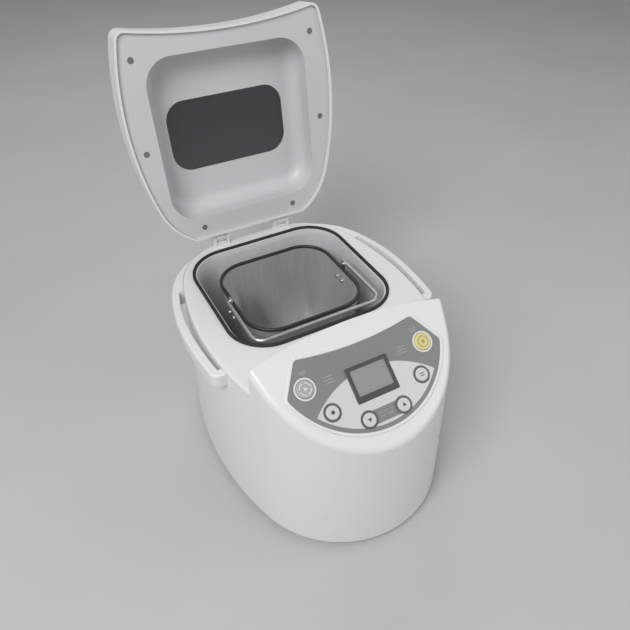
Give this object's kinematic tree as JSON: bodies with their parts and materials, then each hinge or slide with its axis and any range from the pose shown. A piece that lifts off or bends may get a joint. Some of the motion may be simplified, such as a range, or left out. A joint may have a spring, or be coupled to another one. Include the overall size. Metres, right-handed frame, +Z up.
{
  "type": "bread machine",
  "caption": "Countertop bread machine: oval white body with a sloped control panel, hinged window lid, lift-out pan with a wire bail, and a belt-driven kneading paddle.",
  "frame": {"origin": "centre of the body footprint on the table", "axes": "+Z up, the front faces -Y, +X to the right of someone facing the front"},
  "size_m": [0.271, 0.3998, 0.4358],
  "materials": {
    "white_gloss": "glossy white moulding",
    "white_satin": "satin white moulding",
    "liner_grey": "satin pale grey",
    "panel_grey": "matt printed film",
    "panel_silver": "fine metallic paint",
    "dark_plastic": "fine matt grain",
    "button_yellow": "smooth",
    "button_grey": "smooth",
    "display_clear": "clear over a grey display",
    "window_glass": "smoked and clear",
    "black_rubber": "matt",
    "chamber_metal": "aluminised sheet",
    "pan_metal": "satin outside, dark coating inside",
    "coating_dark": "non-stick coating",
    "steel": "bright",
    "cast_grey": "as cast",
    "board_green": "board lacquer"
  },
  "bodies": {
    "base": {"base_tray": "white_satin", "board_screws": "steel", "button_switches": "dark_plastic", "carry_grip_left": "white_gloss", "carry_grip_right": "white_gloss", "chamber_gasket": "black_rubber", "control_board": "board_green", "cord_gland": "dark_plastic", "display_bezel": "dark_plastic", "display_glass": "display_clear", "drive_belt": "black_rubber", "drive_bushes": "cast_grey", "drive_carrier": "cast_grey", "heater_clips": "steel", "heating_element": "coating_dark", "hinge_pins": "steel", "housing": "white_gloss", "large_button_rings": "white_gloss", "lcd_module": "dark_plastic", "motor": "cast_grey", "motor_bracket": "steel", "motor_screws": "steel", "oven_chamber": "chamber_metal", "pan_seat": "cast_grey", "panel_bead": "white_gloss", "panel_overlay": "panel_grey", "power_board": "board_green", "rubber_feet": "black_rubber", "seat_screws": "steel", "silver_inlay": "panel_silver", "small_button_rings": "dark_plastic", "temperature_sensor": "steel", "top_deck": "white_gloss", "tray_screws": "steel"},
    "lid": {"lid_shell": "white_gloss", "lid_liner": "liner_grey", "lid_window": "window_glass", "lid_screws": "dark_plastic"},
    "pan": {"bread_pan": "pan_metal", "pan_rim": "coating_dark", "pan_base_ring": "cast_grey", "bail_brackets": "steel", "bracket_rivets": "steel", "pan_bush": "cast_grey"},
    "bail": {"bail_handle": "steel"},
    "paddle": {"pan_shaft": "steel", "driven_dog": "steel", "kneading_paddle": "coating_dark"},
    "drive": {"drive_shaft": "steel", "drive_dog": "steel", "large_pulley": "dark_plastic"},
    "rotor": {"motor_shaft": "steel", "motor_pulley": "cast_grey"},
    "left_round_button_body": {"left_round_button": "button_grey"},
    "right_round_button_body": {"right_round_button": "button_yellow"},
    "left_outer_button_body": {"left_outer_button": "button_grey"},
    "right_outer_button_body": {"right_outer_button": "button_grey"},
    "left_inner_button_body": {"left_inner_button": "button_grey"},
    "right_inner_button_body": {"right_inner_button": "button_grey"}
  },
  "joints": [
    {"name": "lid_hinge", "type": "hinge", "parent": "base", "child": "lid", "pos_m": [0, 0.1629, 0.2], "axis": [-1, 0, 0], "range_deg": [-98.5, 0]},
    {"name": "pan_lift", "type": "slide", "parent": "base", "child": "pan", "axis": [0, 0, 1], "range_m": [0, 0.17]},
    {"name": "bail_swing", "type": "hinge", "parent": "pan", "child": "bail", "pos_m": [0, 0.057, 0.1876], "axis": [-1, 0, 0], "range_deg": [0, 90]},
    {"name": "drive_spin", "type": "hinge", "parent": "base", "child": "drive", "pos_m": [0, 0.057, 0.02], "axis": [0, 0, 1], "continuous": true},
    {"name": "paddle_spin", "type": "hinge", "parent": "pan", "child": "paddle", "pos_m": [0, 0.057, 0.07], "axis": [0, 0, 1], "continuous": true},
    {"name": "rotor_spin", "type": "hinge", "parent": "base", "child": "rotor", "pos_m": [0, -0.088, 0.02], "axis": [0, 0, 1], "continuous": true},
    {"name": "left_round_button_press", "type": "slide", "parent": "base", "child": "left_round_button_body", "axis": [0, -0.5821, 0.8131], "range_m": [-0.0015, 0], "stiffness_N_per_m": 400},
    {"name": "right_round_button_press", "type": "slide", "parent": "base", "child": "right_round_button_body", "axis": [0, -0.5821, 0.8131], "range_m": [-0.0015, 0], "stiffness_N_per_m": 400},
    {"name": "left_outer_button_press", "type": "slide", "parent": "base", "child": "left_outer_button_body", "axis": [0, -0.5821, 0.8131], "range_m": [-0.0015, 0], "stiffness_N_per_m": 400},
    {"name": "right_outer_button_press", "type": "slide", "parent": "base", "child": "right_outer_button_body", "axis": [0, -0.5821, 0.8131], "range_m": [-0.0015, 0], "stiffness_N_per_m": 400},
    {"name": "left_inner_button_press", "type": "slide", "parent": "base", "child": "left_inner_button_body", "axis": [0, -0.5821, 0.8131], "range_m": [-0.0015, 0], "stiffness_N_per_m": 400},
    {"name": "right_inner_button_press", "type": "slide", "parent": "base", "child": "right_inner_button_body", "axis": [0, -0.5821, 0.8131], "range_m": [-0.0015, 0], "stiffness_N_per_m": 400}
  ],
  "couplings": [
    {"joint": "paddle_spin", "follows": "drive_spin", "ratio": 1},
    {"joint": "rotor_spin", "follows": "drive_spin", "ratio": 4.7778}
  ]
}
